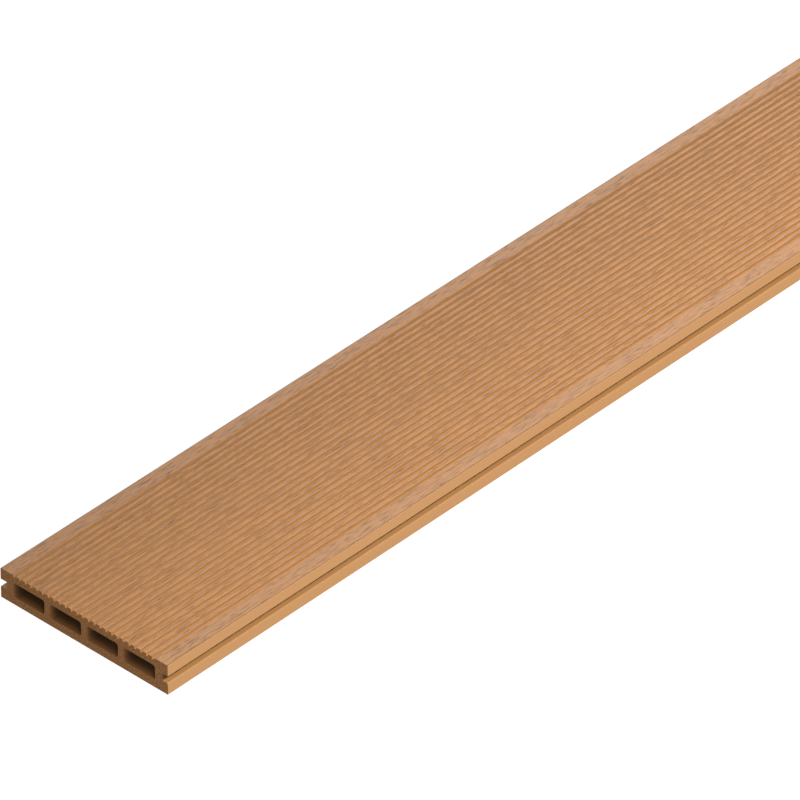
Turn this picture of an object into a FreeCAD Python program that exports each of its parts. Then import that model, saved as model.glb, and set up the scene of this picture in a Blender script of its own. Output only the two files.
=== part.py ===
"""Grooved hollow decking board of extruded wood-plastic composite.

The board is one extruded profile, sawn square to length: a grooved walking face over a row of
hollow chambers, with a slot along each side for hidden fixing clips. It lies flat on its underside,
with X across the width, Y along the length and Z up. Sizes are in millimetres.
"""
import FreeCAD
import Part

import math
import os

# Overall size
length = 2200.0
width = 145.0
thickness = 23.0

# Grooves of the walking face
groove_pitch = 5.0
groove_mouth = 2.3
groove_floor = 2.0
groove_depth = 1.8
groove_root_radius = 0.25
land_arris_radius = 0.2
least_edge_land = 11.0  # plain strip left along each edge, before the pattern is centred

# Clip slot along each side
slot_depth = 6.0
slot_height = 5.4
lower_lip = 9.0  # from the underside to the slot
lower_mouth_radius = 1.1
upper_mouth_radius = 0.2
slot_root_radius = 0.8

# Hollow chambers
chamber_count = 4
chamber_corner_radius = 2.0
web = 4.7  # wall between two chambers
side_wall = 5.0  # wall between a slot and the chamber beside it
bottom_wall = 6.0
top_wall = 4.2  # from the chambers' roof to the floor of the grooves

# Outer edges along the board
top_arris_radius = 0.7
bottom_arris_radius = 0.4

# Sizes that follow from those above
groove_count = 1 + math.floor((width - 2 * least_edge_land - groove_mouth) / groove_pitch)
chamber_span = width - 2 * (slot_depth + side_wall)
chamber_width = (chamber_span - (chamber_count - 1) * web) / chamber_count
chamber_roof = thickness - groove_depth - top_wall


def rounded_outline(corners):
    """Closed wire on the sawn end through (x, z, radius) corners, each rounded to its radius."""
    points = [FreeCAD.Vector(x, -length / 2, z) for x, z, radius in corners]
    arcs = []
    for index, (x, z, radius) in enumerate(corners):
        corner = points[index]
        to_last = (points[index - 1] - corner).normalize()
        to_next = (points[(index + 1) % len(points)] - corner).normalize()
        half_angle = to_last.getAngle(to_next) / 2
        run = radius / math.tan(half_angle)
        inward = (to_last + to_next).normalize()
        middle = corner + inward * (radius / math.sin(half_angle) - radius)
        arcs.append(Part.Arc(corner + to_last * run, middle, corner + to_next * run))
    edges = []
    for index, arc in enumerate(arcs):
        edges.append(Part.LineSegment(arcs[index - 1].EndPoint, arc.StartPoint).toShape())
        edges.append(arc.toShape())
    return Part.Wire(edges)


def side_corners(side):
    """Corners up one side, underside to walking face, round its clip slot; side is 1 at +X, -1 at -X."""
    face = side * width / 2
    slot_floor = side * (width / 2 - slot_depth)
    slot_roof = lower_lip + slot_height
    return [
        (face, 0, bottom_arris_radius),
        (face, lower_lip, lower_mouth_radius),
        (slot_floor, lower_lip, slot_root_radius),
        (slot_floor, slot_roof, slot_root_radius),
        (face, slot_roof, upper_mouth_radius),
        (face, thickness, top_arris_radius),
    ]


def groove_corners(x):
    """Corners of one groove centred on x, from its +X land to its -X land."""
    floor = thickness - groove_depth
    return [
        (x + groove_mouth / 2, thickness, land_arris_radius),
        (x + groove_floor / 2, floor, groove_root_radius),
        (x - groove_floor / 2, floor, groove_root_radius),
        (x - groove_mouth / 2, thickness, land_arris_radius),
    ]


def board_outline():
    """Outside of the section: up the +X side, over the grooves and down the -X side."""
    corners = side_corners(1)
    first_groove = (groove_count - 1) * groove_pitch / 2
    for index in range(groove_count):
        corners += groove_corners(first_groove - index * groove_pitch)
    corners += reversed(side_corners(-1))
    return rounded_outline(corners)


def chamber_outline(index):
    """One hollow chamber, counted from the -X side."""
    left = index * (chamber_width + web) - chamber_span / 2
    right = left + chamber_width
    return rounded_outline([
        (left, bottom_wall, chamber_corner_radius),
        (right, bottom_wall, chamber_corner_radius),
        (right, chamber_roof, chamber_corner_radius),
        (left, chamber_roof, chamber_corner_radius),
    ])


def decking_board():
    """The sawn board: its section, hollow chambers and all, extruded along the length."""
    wires = [board_outline()] + [chamber_outline(index) for index in range(chamber_count)]
    section = Part.makeFace(wires, "Part::FaceMakerBullseye")
    return section.extrude(FreeCAD.Vector(0, length, 0)).Solids[0]


board = decking_board()
os.makedirs("parts", exist_ok=True)
board.exportStep("parts/decking_board.step")

print("grooves", groove_count, "chamber", round(chamber_width, 2), "by", round(chamber_roof - bottom_wall, 2))
print("valid", board.isValid(), "section mm2", round(board.Volume / length, 1), "box", board.BoundBox)
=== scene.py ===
# %% [markdown]
# # A grooved decking board
# The real board is extruded: warm wood-plastic composite is pushed through a steel die, cooled, brushed on
# its walking face and sawn to length. This lesson follows the same order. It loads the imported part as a
# fixed frame, draws the section, runs it along the board, brushes the lands between the grooves, saws the
# ends and then gives each surface the finish that its way of making leaves behind.

from collections import Counter
import math

import bpy
from mathutils import Matrix, Vector, geometry, noise


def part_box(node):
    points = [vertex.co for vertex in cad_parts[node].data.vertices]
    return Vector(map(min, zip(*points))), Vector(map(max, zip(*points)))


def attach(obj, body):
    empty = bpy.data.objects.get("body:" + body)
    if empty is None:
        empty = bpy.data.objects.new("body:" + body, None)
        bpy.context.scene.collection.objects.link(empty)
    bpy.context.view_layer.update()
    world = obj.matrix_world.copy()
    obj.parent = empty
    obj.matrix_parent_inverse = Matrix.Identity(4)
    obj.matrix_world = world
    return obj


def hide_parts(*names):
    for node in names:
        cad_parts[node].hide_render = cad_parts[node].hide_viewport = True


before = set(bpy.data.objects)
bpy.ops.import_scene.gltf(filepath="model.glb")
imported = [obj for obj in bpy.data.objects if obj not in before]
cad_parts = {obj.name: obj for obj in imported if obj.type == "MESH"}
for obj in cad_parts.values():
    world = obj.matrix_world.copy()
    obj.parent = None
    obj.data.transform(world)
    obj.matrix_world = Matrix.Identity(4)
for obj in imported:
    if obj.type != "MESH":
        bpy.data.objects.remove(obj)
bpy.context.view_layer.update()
low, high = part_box("decking_board")
mm = 0.001
print("packed board, mm:", [round(side / mm, 1) for side in high - low])

# %% [markdown]
# ## The camera
# The board is long and the picture shows one end of it from far away through a long lens, so its edges stay
# nearly parallel. The camera could be typed in as a place and three turns. Instead it is given as a
# photographer would say it: which point it aims at, how far off it stands, from which side and how high.

# %% Camera at the photographed end
aim_across, aim_along = -8.6 * mm, 297.5 * mm
aim = Vector((aim_across, low.y + aim_along, high.z))
stand_off = 6.93
azimuth, elevation = math.radians(42.96), math.radians(36.92)
towards_camera = Vector((
    math.sin(azimuth) * math.cos(elevation),
    -math.cos(azimuth) * math.cos(elevation),
    math.sin(elevation),
))

camera = bpy.data.objects.new("camera", bpy.data.cameras.new("camera"))
camera.data.sensor_width = 36
camera.data.lens = 489.5
camera.data.clip_end = 100
camera.location = aim + towards_camera * stand_off
camera.rotation_euler = (-towards_camera).to_track_quat("-Z", "Y").to_euler()
bpy.context.collection.objects.link(camera)
bpy.context.scene.camera = camera
print("camera at", [round(value, 3) for value in camera.location])

# %% [markdown]
# ## The section
# Everything on an extruded board comes from its section: the outline of the die. The outline is a short list
# of corners, each with the radius that rounds it, because no die has sharp corners. One function turns
# corners into points along straight runs and arcs. A bevel modifier could round the corners too, but it
# would round the sawn ends with them, and a saw leaves those crisp.

# %% Corners into a rounded outline
arc_steps = 5


def rounded(corners):
    """Points of a closed outline through (x, z, radius) corners, each corner rounded to its radius."""
    points = []
    for index, (x, z, radius) in enumerate(corners):
        corner = Vector((x, z))
        to_last = (Vector(corners[index - 1][:2]) - corner).normalized()
        to_next = (Vector(corners[(index + 1) % len(corners)][:2]) - corner).normalized()
        half_angle = to_last.angle(to_next) / 2
        centre = corner + (to_last + to_next).normalized() * radius / math.sin(half_angle)
        spoke = corner + to_last * radius / math.tan(half_angle) - centre
        turn = math.copysign(math.pi - 2 * half_angle, to_next.cross(to_last))
        for step in range(arc_steps + 1):
            points.append(centre + Matrix.Rotation(turn * step / arc_steps, 2) @ spoke)
    return points


print("points on each rounded corner:", arc_steps + 1)

# %% The die's outline, up one side, over the grooves and down the other
half_width, half_length, thickness = high.x, high.y, high.z
groove_pitch, groove_mouth, groove_floor, groove_depth = 5.0 * mm, 2.3 * mm, 2.0 * mm, 1.8 * mm
groove_count = 25
slot_depth, slot_height, lower_lip = 6.0 * mm, 5.4 * mm, 9.0 * mm
slot_roof = lower_lip + slot_height
land_arris, groove_root = 0.2 * mm, 0.25 * mm
upper_lip_round, lower_lip_round, slot_root = 0.2 * mm, 1.1 * mm, 0.8 * mm
top_arris, bottom_arris = 0.7 * mm, 0.4 * mm


def side_corners(side):
    """Corners up one side and round its clip slot; side is 1 at +X and -1 at -X."""
    face = side * half_width
    slot_end = side * (half_width - slot_depth)
    return [
        (face, 0, bottom_arris),
        (face, lower_lip, lower_lip_round),
        (slot_end, lower_lip, slot_root),
        (slot_end, slot_roof, slot_root),
        (face, slot_roof, upper_lip_round),
        (face, thickness, top_arris),
    ]


def groove_corners(x):
    """Corners of one groove, from its +X land to its -X land."""
    floor = thickness - groove_depth
    return [
        (x + groove_mouth / 2, thickness, land_arris),
        (x + groove_floor / 2, floor, groove_root),
        (x - groove_floor / 2, floor, groove_root),
        (x - groove_mouth / 2, thickness, land_arris),
    ]


groove_places = [((groove_count - 1) / 2 - index) * groove_pitch for index in range(groove_count)]
outline_corners = side_corners(1)
for place in groove_places:
    outline_corners += groove_corners(place)
outline_corners += reversed(side_corners(-1))
outline = rounded(outline_corners)
print("outline points:", len(outline))

# %% The chambers that the die's cores leave
chamber_width, chamber_pitch, chamber_count = 27.225 * mm, 31.925 * mm, 4
chamber_bottom, chamber_roof, chamber_corner = 6.0 * mm, 17.0 * mm, 2.0 * mm


def chamber_outline(middle):
    """Points round one chamber, run clockwise so that its walls face into the hollow."""
    left, right = middle - chamber_width / 2, middle + chamber_width / 2
    return rounded([
        (left, chamber_bottom, chamber_corner),
        (left, chamber_roof, chamber_corner),
        (right, chamber_roof, chamber_corner),
        (right, chamber_bottom, chamber_corner),
    ])


chamber_middles = [(index - (chamber_count - 1) / 2) * chamber_pitch for index in range(chamber_count)]
chambers = [chamber_outline(middle) for middle in chamber_middles]
print("chambers:", len(chambers), "of", len(chambers[0]), "points each")

# %% [markdown]
# ## Running the section along the board
# A plain face of an extrusion needs only two rows of points, one at each end, however long the board is.
# That leaves the triangles for the lands, which a brush has roughened along the grain. The marks could be a
# bump pattern alone, but then the lands would stay flat where light grazes them. So they are real relief:
# rows of points along each land, sunk by up to a twentieth of a millimetre. Each point of the mesh also
# stores an accent, from 0 to 1, that tells its finish where to show a second tone: along the outer rim of
# the walking face, and on the floors of the grooves, where that tone is painted shade.

# %% Vertices, faces and the brush
vertices, accents, faces, face_finishes = [], [], [], []
extruded, brushed, sawn, cored = 0, 1, 2, 3


def add_vertex(x, y, z, accent=0.0):
    """Stores a point, with how far it takes the accent of its finish, and returns its number."""
    vertices.append((x, y, z))
    accents.append(accent)
    return len(vertices) - 1


def add_face(corners, finish):
    """Stores a face by the numbers of its points."""
    faces.append(corners)
    face_finishes.append(finish)


mark_width, long_mark, short_mark = 1.0 * mm, 26.0 * mm, 8.0 * mm
long_weight, short_weight = 1.2, 0.8
long_layer, short_layer = 0.5, 7.5  # two slices of the noise, far enough apart to differ


def brush_mark(x, y):
    """How deep the brush has torn the land at x, y, from 0 to 1: long marks, broken up by short ones."""
    slow = noise.noise((x / mark_width, y / long_mark, long_layer))
    quick = noise.noise((x / mark_width, y / short_mark, short_layer))
    return min(max(long_weight * slow + short_weight * quick, 0.0), 1.0)


mark_sizes = (mark_width, long_mark, short_mark)
print("brush marks, width and two lengths, mm:", [round(size / mm, 1) for size in mark_sizes])

# %% A land between two grooves
brush_depth = 0.05 * mm
column_width = 0.56 * mm
border = 0.05 * mm
stations = 480
station_length = 2 * half_length / stations
stagger, stagger_layer = 0.4, 2.5  # share of a station that a point strays along the board


def brushed_column(x, depth):
    """A row of points along the board at x; the sawn ends stay level with the edges of the land."""
    numbers = []
    for station in range(stations + 1):
        y = station * station_length - half_length
        sunk = 0.0
        if 0 < station < stations:
            y += stagger * station_length * noise.cell((x / column_width, station, stagger_layer))
            sunk = brush_mark(x, y) * depth
        numbers.append(add_vertex(x, y, thickness - sunk))
    return numbers


def fan(edge, column, flip):
    """Joins a two-point edge to a row of points beside it, in one plane."""
    middle = len(column) // 2
    front, back = edge
    triangles = [(front, column[k + 1], column[k]) for k in range(middle)]
    triangles.append((front, back, column[middle]))
    triangles += [(back, column[k + 1], column[k]) for k in range(middle, len(column) - 1)]
    for triangle in triangles:
        add_face(triangle[::-1] if flip else triangle, brushed)


def brushed_land(start_edge, start, end_edge, end):
    """Fills the land from start to end (running towards -X) and returns its rows of points."""
    span = start - end - 2 * border
    count = max(2, round(span / column_width))
    columns = []
    for index in range(count + 1):
        depth = brush_depth if 0 < index < count else 0.0
        columns.append(brushed_column(start - border - span * index / count, depth))
    fan(start_edge, columns[0], False)
    for first, second in zip(columns, columns[1:]):
        for k in range(stations):
            add_face((first[k], first[k + 1], second[k + 1], second[k]), brushed)
    fan(end_edge, columns[-1], True)
    return columns


print("each row of a land has", stations + 1, "points, about", round(station_length / mm, 2), "mm apart")

# %% Run an outline along the board
least_land, brush_reach, floor_band = 1.0 * mm, 0.15 * mm, 0.2 * mm


def wall_finish(here, there, finish):
    """The finish of a wall between two outline points: its own, unless brushed, or inside a slot, where the
    cored finish paints its shade.
    """
    bottom, top = sorted((here.y, there.y))
    if bottom > thickness - brush_reach:
        return brushed
    if bottom > lower_lip and top < slot_roof:
        return cored
    return finish


def run_along(points, finish):
    """Walls of one outline from end to end; returns the numbers of its points on the two sawn ends."""
    edges = []
    for x, z in points:
        on_rim = z > thickness - brush_reach and abs(x) > half_width - top_arris
        # the groove floors take the accent, which the skin shows as painted shade
        on_groove_floor = abs(z - thickness + groove_depth) < floor_band
        accent = float(on_rim or on_groove_floor)
        edges.append((add_vertex(x, -half_length, z, accent), add_vertex(x, half_length, z, accent)))
    ends = []
    for index, edge in enumerate(edges):
        after = (index + 1) % len(points)
        here, there = points[index], points[after]
        ends.append(edge)
        on_top = min(here.y, there.y) > thickness - border
        if on_top and (here - there).length > least_land:
            columns = brushed_land(edge, here.x, edges[after], there.x)
            ends += [(column[0], column[-1]) for column in columns]
        else:
            corners = (edge[0], edge[1], edges[after][1], edges[after][0])
            add_face(corners, wall_finish(here, there, finish))
    return ends


outline_ends = run_along(outline, extruded)
# the chamber walls take the cored finish, which is painted shade
chamber_ends = [run_along(chamber, cored) for chamber in chambers]
print("long faces:", len(faces), "points on each end of the outline:", len(outline_ends))

# %% [markdown]
# ## The sawn ends
# A saw cuts across the wood flour and the plastic and leaves a dull, slightly torn face. A single flat
# polygon with holes would do, but then the cut would be as smooth as glass. Here points are scattered over
# the walls of the section and sunk a few hundredths of a millimetre, and a Delaunay triangulation joins them
# to the outline.

# %% Points scattered over the cut
tear_spacing, tear_depth, tear_margin = 1.1 * mm, 0.07 * mm, 0.45 * mm
tear_scatter, scatter_layer = 0.35, 4.5


def inside_walls(x, z):
    """True if a point of the section lies in solid composite, clear of every edge."""
    if not tear_margin < z < thickness - groove_depth - tear_margin:
        return False
    if abs(x) > half_width - tear_margin:
        return False
    by_slot = abs(x) > half_width - slot_depth - tear_margin
    if by_slot and lower_lip - tear_margin < z < slot_roof + tear_margin:
        return False
    in_row = chamber_bottom - tear_margin < z < chamber_roof + tear_margin
    nearest = min(abs(x - middle) for middle in chamber_middles)
    return not (in_row and nearest < chamber_width / 2 + tear_margin)


tears = []
for row in range(round(thickness / tear_spacing)):
    for place in range(round(2 * half_width / tear_spacing)):
        shift = noise.cell_vector((place, row, scatter_layer)) * tear_scatter
        x = (place + 0.5 + shift.x) * tear_spacing - half_width
        z = (row + 0.5 + shift.y) * tear_spacing
        if inside_walls(x, z):
            tears.append(Vector((x, z)))
print("points on each cut:", len(tears))

# %% Triangles of the cut, kept out of the chambers
loops = [outline_ends] + chamber_ends
loop_points = [edge for loop in loops for edge in loop]
flat_points = [Vector((vertices[front][0], vertices[front][2])) / mm for front, back in loop_points]
flat_points += [point / mm for point in tears]
rim_edges, loop_of, first = [], [], 0
for number, loop in enumerate(loops):
    rim_edges += [(first + k, first + (k + 1) % len(loop)) for k in range(len(loop))]
    loop_of += [number] * len(loop)
    first += len(loop)
loop_of += [-1] * len(tears)
inside_only, tolerance = 1, 1e-5
triangles = geometry.delaunay_2d_cdt(flat_points, rim_edges, [], inside_only, tolerance)[2]


def in_chamber(triangle):
    """True if a triangle joins three points of one chamber's rim, and so covers the hollow."""
    numbers = {loop_of[k] for k in triangle}
    return len(numbers) == 1 and numbers.pop() > 0


triangles = [triangle for triangle in triangles if not in_chamber(triangle)]
print("triangles on each cut:", len(triangles))

# %% Both ends of the board
apart = 9.0  # how far apart in the noise the two cuts lie, so that they differ
for side, end in enumerate((-half_length, half_length)):
    numbers = [edge[side] for edge in loop_points]
    for point in tears:
        bite = noise.noise((point.x / tear_spacing, side * apart, point.y / tear_spacing))
        torn = tear_depth * (0.5 + 0.5 * bite)
        numbers.append(add_vertex(point.x, end - math.copysign(torn, end), point.y))
    for triangle in triangles:
        corners = [numbers[k] for k in triangle]
        add_face(corners if side == 0 else corners[::-1], sawn)
print("faces in all:", len(faces))

# %% [markdown]
# ## One mesh for one piece of stock
# The board is a single piece, so it becomes a single mesh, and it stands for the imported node. It is shaded
# smooth so that the rounded edges roll, with sharp edges kept where the saw cut. A Weighted Normal modifier
# lets the broad flat faces rule the shading, so that they stay flat right up to their rounded edges. In a
# closed mesh every edge has two faces, so the edges that have not are counted.

# %% The board
sharp_angle = math.radians(40)
mesh = bpy.data.meshes.new("grooved_board")
mesh.from_pydata(vertices, [], faces)
mesh.polygons.foreach_set("material_index", face_finishes)
mesh.attributes.new("accent", "FLOAT", "POINT").data.foreach_set("value", accents)
mesh.shade_smooth()
mesh.set_sharp_from_angle(angle=sharp_angle)

board = bpy.data.objects.new("grooved_board", mesh)
bpy.context.collection.objects.link(board)
flat_faces_rule = board.modifiers.new("flat_faces_rule", "WEIGHTED_NORMAL")
flat_faces_rule.keep_sharp = True
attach(board, "root")
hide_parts("decking_board")

mesh.calc_loop_triangles()
edge_uses = Counter(edge for face in mesh.polygons for edge in face.edge_keys)
open_edges = sum(uses != 2 for uses in edge_uses.values())
print("board triangles:", len(mesh.loop_triangles), "open edges:", open_edges)

# %% [markdown]
# ## Finishes
# Every finish is a Principled shader fed by a few pattern nodes. One helper adds a node: it takes the node's
# own settings by name and a table of inputs, where a value is set and a socket is linked. Colours are
# written as sRGB hex values, as a colour picker gives them, and one function turns them into the linear
# light that the shader works in.

# %% Helpers for colours and nodes
composite_ior = 1.5  # of polyethylene, the plastic in the mix

# A Mix node has sockets for each kind of data; these are the numbers of those for colours.
mix_factor, mix_a, mix_b, mix_result = 0, 6, 7, 2


def linear(hex_colour):
    """Linear RGBA of an sRGB colour such as "C08040"."""
    shares = [int(hex_colour[k:k + 2], 16) / 255 for k in (0, 2, 4)]
    return [s / 12.92 if s <= 0.04045 else ((s + 0.055) / 1.055) ** 2.4 for s in shares] + [1.0]


def add_node(material, kind, inputs, **settings):
    """Adds a node to a material: settings are its own properties, inputs are values or sockets to link."""
    tree = material.node_tree
    node = tree.nodes.new(kind)
    for name, value in settings.items():
        setattr(node, name, value)
    for name, value in inputs.items():
        if isinstance(value, bpy.types.NodeSocket):
            tree.links.new(value, node.inputs[name])
        else:
            node.inputs[name].default_value = value
    return node


def new_material(name):
    """A node material with only its output, and that output node."""
    material = bpy.data.materials.new(name)
    material.use_nodes = True
    material.node_tree.nodes.clear()
    return material, material.node_tree.nodes.new("ShaderNodeOutputMaterial")


def grain_size(across, along):
    """Mapping scale for a pattern with features this wide and this long."""
    return (1 / across, 1 / along, 1 / across)


print("half of full sRGB is", round(linear("808080")[0], 3), "of full light")

# %% [markdown]
# ## Extruded composite
# Wood flour in polyethylene, pushed through a polished die: the skin is smooth, between satin and matt, and
# to the eye one even tan. It shows only faint lines along the board where the melt dragged on the die. An
# image texture would do, but noise stretched along the board has no repeats to catch the eye. The floors of
# the grooves are painted a more golden tan, as painted shade of the recess, so there the finish follows the
# accent that the mesh stores.

# %% Smooth skin of the sides, grooves and underside
# Real drag lines are finer than this; they are drawn as coarse as they need to be to show.
drag_width, drag_length = 0.8 * mm, 160 * mm


def extruded_composite():
    """Even tan skin with faint drag lines, painted a more golden tan as shade where the mesh asks for the
    accent.
    """
    material, output = new_material("wood_plastic_composite_extruded")
    place = add_node(material, "ShaderNodeTexCoord", {}).outputs["Object"]
    drag = add_node(material, "ShaderNodeMapping",
                    {"Vector": place, "Scale": grain_size(drag_width, drag_length)})
    drag_lines = add_node(material, "ShaderNodeTexNoise",
                          {"Vector": drag.outputs["Vector"], "Scale": 1.0, "Detail": 3.0})
    skin = add_node(material, "ShaderNodeMix",
                    {mix_factor: drag_lines.outputs["Fac"], mix_a: linear("A67541"),
                     mix_b: linear("AE7D48")}, data_type="RGBA")
    accent = add_node(material, "ShaderNodeAttribute", {}, attribute_name="accent").outputs["Fac"]
    # B07A38 is painted shade on the groove floors
    colour = add_node(material, "ShaderNodeMix",
                      {mix_factor: accent, mix_a: skin.outputs[mix_result], mix_b: linear("B07A38")},
                      data_type="RGBA")
    relief = add_node(material, "ShaderNodeBump",
                      {"Height": drag_lines.outputs["Fac"], "Strength": 0.2, "Distance": 0.02 * mm})
    shader = add_node(material, "ShaderNodeBsdfPrincipled",
                      {"Base Color": colour.outputs[mix_result], "Roughness": 0.6, "IOR": composite_ior,
                       "Normal": relief.outputs["Normal"]})
    material.node_tree.links.new(shader.outputs["BSDF"], output.inputs["Surface"])
    return material


extruded_skin = extruded_composite()
print("made", extruded_skin.name, "with", len(extruded_skin.node_tree.nodes), "nodes")

# %% [markdown]
# ## Cored composite
# The die's cores shape the chambers, and its tongues shape the slots. Their walls are dull and painted dark,
# as painted shade of the hollows, and painted paler in the first millimetres behind the cut, as painted light
# that reaches in from the end. A small light hidden in each chamber could make that change of tone, but it
# would also light the floor around the board. So the finish itself mixes two browns by the distance from the
# sawn end, and looks the same from every side.

# %% Walls of the chambers and slot bottoms in painted shade, with painted light at the mouth
# how far from the cut the painted light reaches into the hollows
painted_light_reach = 5.8 * mm


def cored_composite():
    """Dull wall painted dark as shade, and painted paler towards the sawn ends as light that reaches in."""
    material, output = new_material("wood_plastic_composite_cored_painted_shade")
    place = add_node(material, "ShaderNodeTexCoord", {}).outputs["Object"]
    along = add_node(material, "ShaderNodeSeparateXYZ", {"Vector": place}).outputs["Y"]
    from_middle = add_node(material, "ShaderNodeMath", {0: along}, operation="ABSOLUTE")
    pale = add_node(material, "ShaderNodeMapRange",
                    {"Value": from_middle.outputs["Value"], "From Min": half_length - painted_light_reach,
                     "From Max": half_length})
    # 5A3D20 is painted shade deep in the hollows, 87592A is painted light near the cut
    colour = add_node(material, "ShaderNodeMix",
                      {mix_factor: pale.outputs["Result"], mix_a: linear("5A3D20"),
                       mix_b: linear("87592A")}, data_type="RGBA")
    shader = add_node(material, "ShaderNodeBsdfPrincipled",
                      {"Base Color": colour.outputs[mix_result], "Roughness": 0.8, "IOR": composite_ior})
    material.node_tree.links.new(shader.outputs["BSDF"], output.inputs["Surface"])
    return material


cored_painted_shade = cored_composite()
print("made", cored_painted_shade.name, "with", len(cored_painted_shade.node_tree.nodes), "nodes")

# %% [markdown]
# ## Brushed composite
# The brush opens the skin of the lands, so to the eye they are pinker than the rest, with short dark dashes
# along the board. The dashes could be cut into the mesh, but they are too fine for its rows of points, so two
# noises draw them: broad streaks say where dashes crowd together, and thin fibres make each dash. The gaps
# between fibres are dull as well as dark, so the sheen of the lands breaks up in them. Along the outer rim
# the finish takes the dark of the gaps, where the mesh stores the accent.

# %% Brushed lands
# Real fibres are finer than this; they are drawn as coarse as they need to be to show.
streak_width, streak_length = 1.2 * mm, 35 * mm
fibre_width, fibre_length = 0.6 * mm, 9 * mm
gap_brown = "62472D"


def brushed_composite():
    """Pinkish lands of fine fibres, with dark, dull dashes between them and a dark outer rim."""
    material, output = new_material("wood_plastic_composite_brushed")
    place = add_node(material, "ShaderNodeTexCoord", {}).outputs["Object"]
    streak = add_node(material, "ShaderNodeMapping",
                      {"Vector": place, "Scale": grain_size(streak_width, streak_length)})
    streaks = add_node(material, "ShaderNodeTexNoise", {"Vector": streak.outputs["Vector"], "Scale": 1.0})
    fibre = add_node(material, "ShaderNodeMapping",
                     {"Vector": place, "Scale": grain_size(fibre_width, fibre_length)})
    fibres = add_node(material, "ShaderNodeTexNoise",
                      {"Vector": fibre.outputs["Vector"], "Scale": 1.0, "Detail": 2.0, "Roughness": 0.6})
    pinker = add_node(material, "ShaderNodeMapRange",
                      {"Value": streaks.outputs["Fac"], "From Min": 0.3, "From Max": 0.7})
    toned = add_node(material, "ShaderNodeMix",
                     {mix_factor: pinker.outputs["Result"], mix_a: linear("AF7C4B"),
                      mix_b: linear("A47957")}, data_type="RGBA")
    torn_rows = add_node(material, "ShaderNodeMath",
                         {0: streaks.outputs["Fac"], 1: 0.3, 2: fibres.outputs["Fac"]},
                         operation="MULTIPLY_ADD")
    gap = add_node(material, "ShaderNodeMapRange",
                   {"Value": torn_rows.outputs["Value"], "From Min": 0.64, "From Max": 0.86,
                    "To Max": 0.72})
    dashed = add_node(material, "ShaderNodeMix",
                      {mix_factor: gap.outputs["Result"], mix_a: toned.outputs[mix_result],
                       mix_b: linear(gap_brown)}, data_type="RGBA")
    accent = add_node(material, "ShaderNodeAttribute", {}, attribute_name="accent").outputs["Fac"]
    rim = add_node(material, "ShaderNodeMapRange", {"Value": accent, "To Max": 0.8})
    colour = add_node(material, "ShaderNodeMix",
                      {mix_factor: rim.outputs["Result"], mix_a: dashed.outputs[mix_result],
                       mix_b: linear(gap_brown)}, data_type="RGBA")
    relief = add_node(material, "ShaderNodeBump",
                      {"Height": fibres.outputs["Fac"], "Strength": 0.4, "Distance": 0.05 * mm})
    shine = add_node(material, "ShaderNodeMapRange",
                     {"Value": gap.outputs["Result"], "To Min": 0.5, "To Max": 0.1})
    shader = add_node(material, "ShaderNodeBsdfPrincipled",
                      {"Base Color": colour.outputs[mix_result], "Roughness": 0.6, "IOR": composite_ior,
                       "Specular IOR Level": shine.outputs["Result"],
                       "Normal": relief.outputs["Normal"]})
    material.node_tree.links.new(shader.outputs["BSDF"], output.inputs["Surface"])
    return material


brushed_face = brushed_composite()
print("made", brushed_face.name, "with", len(brushed_face.node_tree.nodes), "nodes")

# %% [markdown]
# ## Sawn composite
# The saw blade tears through the mix, so the ends are matt and speckled with cut wood flour. Their brown is
# darker than the skin, partly as the cut's own tone and partly as painted shade of the end face. One flat
# brown would look painted, so a noise mixes two browns and lifts a fine bump. A torn face hardly shines at
# all, which is why the shine of this finish is turned down.

# %% Sawn ends
# Grains of wood flour are finer than this; they are drawn as coarse as they need to be to show.
flour_grain = 1.1 * mm


def sawn_composite():
    """Dull, finely speckled cut, darker partly as its own tone and partly as painted shade."""
    material, output = new_material("wood_plastic_composite_sawn")
    place = add_node(material, "ShaderNodeTexCoord", {}).outputs["Object"]
    flour = add_node(material, "ShaderNodeMapping",
                     {"Vector": place, "Scale": grain_size(flour_grain, flour_grain)})
    specks = add_node(material, "ShaderNodeTexNoise",
                      {"Vector": flour.outputs["Vector"], "Scale": 1.0, "Detail": 3.0, "Roughness": 0.65})
    contrast = add_node(material, "ShaderNodeMapRange",
                        {"Value": specks.outputs["Fac"], "From Min": 0.38, "From Max": 0.62})
    # both browns are darker than the skin, partly as the cut's own tone and partly as painted shade of the
    # end face
    colour = add_node(material, "ShaderNodeMix",
                      {mix_factor: contrast.outputs["Result"], mix_a: linear("604325"),
                       mix_b: linear("936439")}, data_type="RGBA")
    relief = add_node(material, "ShaderNodeBump",
                      {"Height": specks.outputs["Fac"], "Strength": 0.5, "Distance": 0.1 * mm})
    shader = add_node(material, "ShaderNodeBsdfPrincipled",
                      {"Base Color": colour.outputs[mix_result], "Roughness": 0.85, "IOR": composite_ior,
                       "Specular IOR Level": 0.15, "Normal": relief.outputs["Normal"]})
    material.node_tree.links.new(shader.outputs["BSDF"], output.inputs["Surface"])
    return material


sawn_face = sawn_composite()
print("made", sawn_face.name, "with", len(sawn_face.node_tree.nodes), "nodes")

# %% Give the board its finishes, in the order of their numbers
for finish in (extruded_skin, brushed_face, sawn_face, cored_painted_shade):
    mesh.materials.append(finish)
print("finishes:", [material.name for material in mesh.materials])

# %% [markdown]
# ## Floor and light
# The board lies on a plain floor that glows white, as a light table does, so that the ground stays white
# right up to the board. Under the glow the floor is only a mid grey, so the lights add little to it and the
# board casts hardly any shadow. One long soft strip light hangs beside the board, parallel to it, so that
# the side towards it is the brightest face and the sawn end falls into shade. A weaker strip on the other
# side fills the walls that the first one leaves dark. A square soft light stands behind on that side too,
# and puts the sheen on the brushed lands. A pale world fills the shadows.

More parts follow.
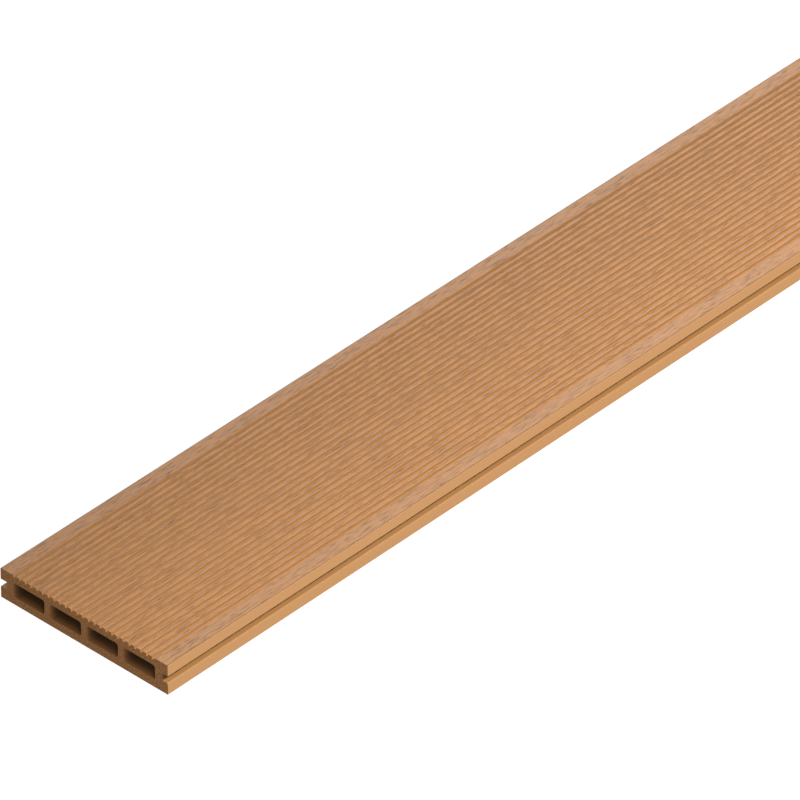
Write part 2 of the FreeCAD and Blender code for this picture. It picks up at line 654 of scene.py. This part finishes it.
# %% White floor
floor_size = 60.0
floor_drop = 0.1 * mm  # keeps the floor just clear of the underside
corner = floor_size / 2
floor_corners = [(-corner, -corner, 0), (corner, -corner, 0), (corner, corner, 0), (-corner, corner, 0)]
floor_mesh = bpy.data.meshes.new("floor")
floor_mesh.from_pydata(floor_corners, [], [(0, 1, 2, 3)])
floor = bpy.data.objects.new("floor", floor_mesh)
floor.location.z = -floor_drop
bpy.context.collection.objects.link(floor)
floor_material, floor_output = new_material("white_floor")
floor_shader = add_node(floor_material, "ShaderNodeBsdfPrincipled",
                        {"Base Color": linear("666666"), "Roughness": 1.0, "Specular IOR Level": 0.0,
                         "Emission Color": linear("FFFFFF"), "Emission Strength": 0.95})
floor_material.node_tree.links.new(floor_shader.outputs["BSDF"], floor_output.inputs["Surface"])
floor_mesh.materials.append(floor_material)
print("floor:", floor_size, "m square")

# %% Three soft lights


def soft_light(name, place, target, length, width, watts):
    """An area light that faces a target, its long side level."""
    light = bpy.data.lights.new(name, "AREA")
    light.shape = "RECTANGLE"
    light.size, light.size_y = length, width
    light.energy = watts
    holder = bpy.data.objects.new(name, light)
    holder.location = place
    holder.rotation_euler = (Vector(target) - Vector(place)).to_track_quat("-Z", "Y").to_euler()
    holder.visible_camera = False
    bpy.context.collection.objects.link(holder)
    return holder


lights = [
    soft_light("strip_light", place=(0.37, 0, 0.40), target=(0.30, 0, 0),
               length=2 * half_length + 1.0, width=0.05, watts=14.6),
    soft_light("fill_light", place=(-0.45, 0.3, 0.35), target=(0, 0.3, thickness),
               length=2 * half_length, width=0.15, watts=3.0),
    soft_light("sheen_light", place=(-1.05, 0.68, 0.95), target=(0, -0.40, thickness),
               length=0.70, width=0.70, watts=8.7),
]
print("lights, W:", {light.name: round(light.data.energy, 1) for light in lights})

# %% Pale world and a plain view of the colours
world_strength = 0.31
world = bpy.data.worlds.new("pale_studio")
world.use_nodes = True
background = world.node_tree.nodes["Background"]
background.inputs["Color"].default_value = linear("FFFFFF")
background.inputs["Strength"].default_value = world_strength
bpy.context.scene.world = world
bpy.context.scene.view_settings.view_transform = "Standard"
bpy.context.scene.view_settings.look = "None"
print("world strength:", world_strength)
